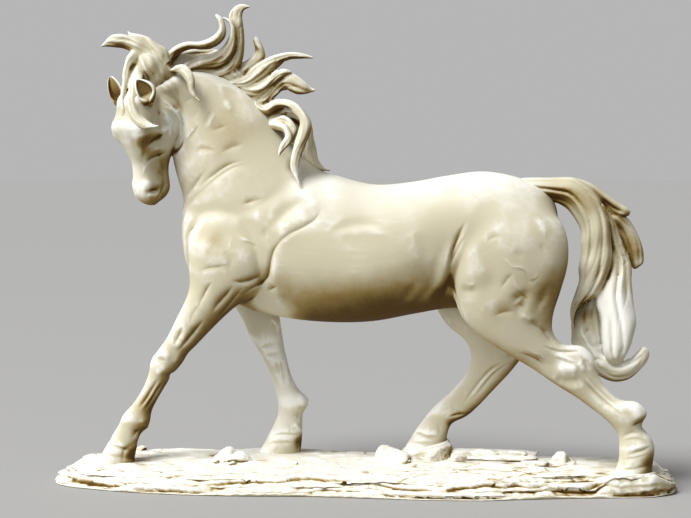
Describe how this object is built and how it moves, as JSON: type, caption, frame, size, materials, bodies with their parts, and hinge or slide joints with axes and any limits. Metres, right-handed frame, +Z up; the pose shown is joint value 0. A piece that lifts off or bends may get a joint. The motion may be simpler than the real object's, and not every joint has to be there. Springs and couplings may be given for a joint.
{
  "type": "horse sculpture on a rock base",
  "caption": "Cast figure of a walking horse with bowed, turned head, wind-blown mane and arched tail, standing on a long layered rock slab with loose stones",
  "frame": {"origin": "middle of the base's bounding box at its flat underside", "axes": "+X along the sculpture's length towards the tail, so the horse faces -X; +Y towards the horse's right side; +Z up"},
  "size_m": [0.4144, 0.1121, 0.3193],
  "materials": {
    "bone_resin": "ivory cast resin with a soft sheen and a brown patina wiped into the recesses",
    "rock_resin": "ivory cast resin, matte, with brown patina in the cracks and under the ledges"
  },
  "bodies": {
    "root": {"horse": "bone_resin", "rock_base": "rock_resin"}
  },
  "joints": []
}
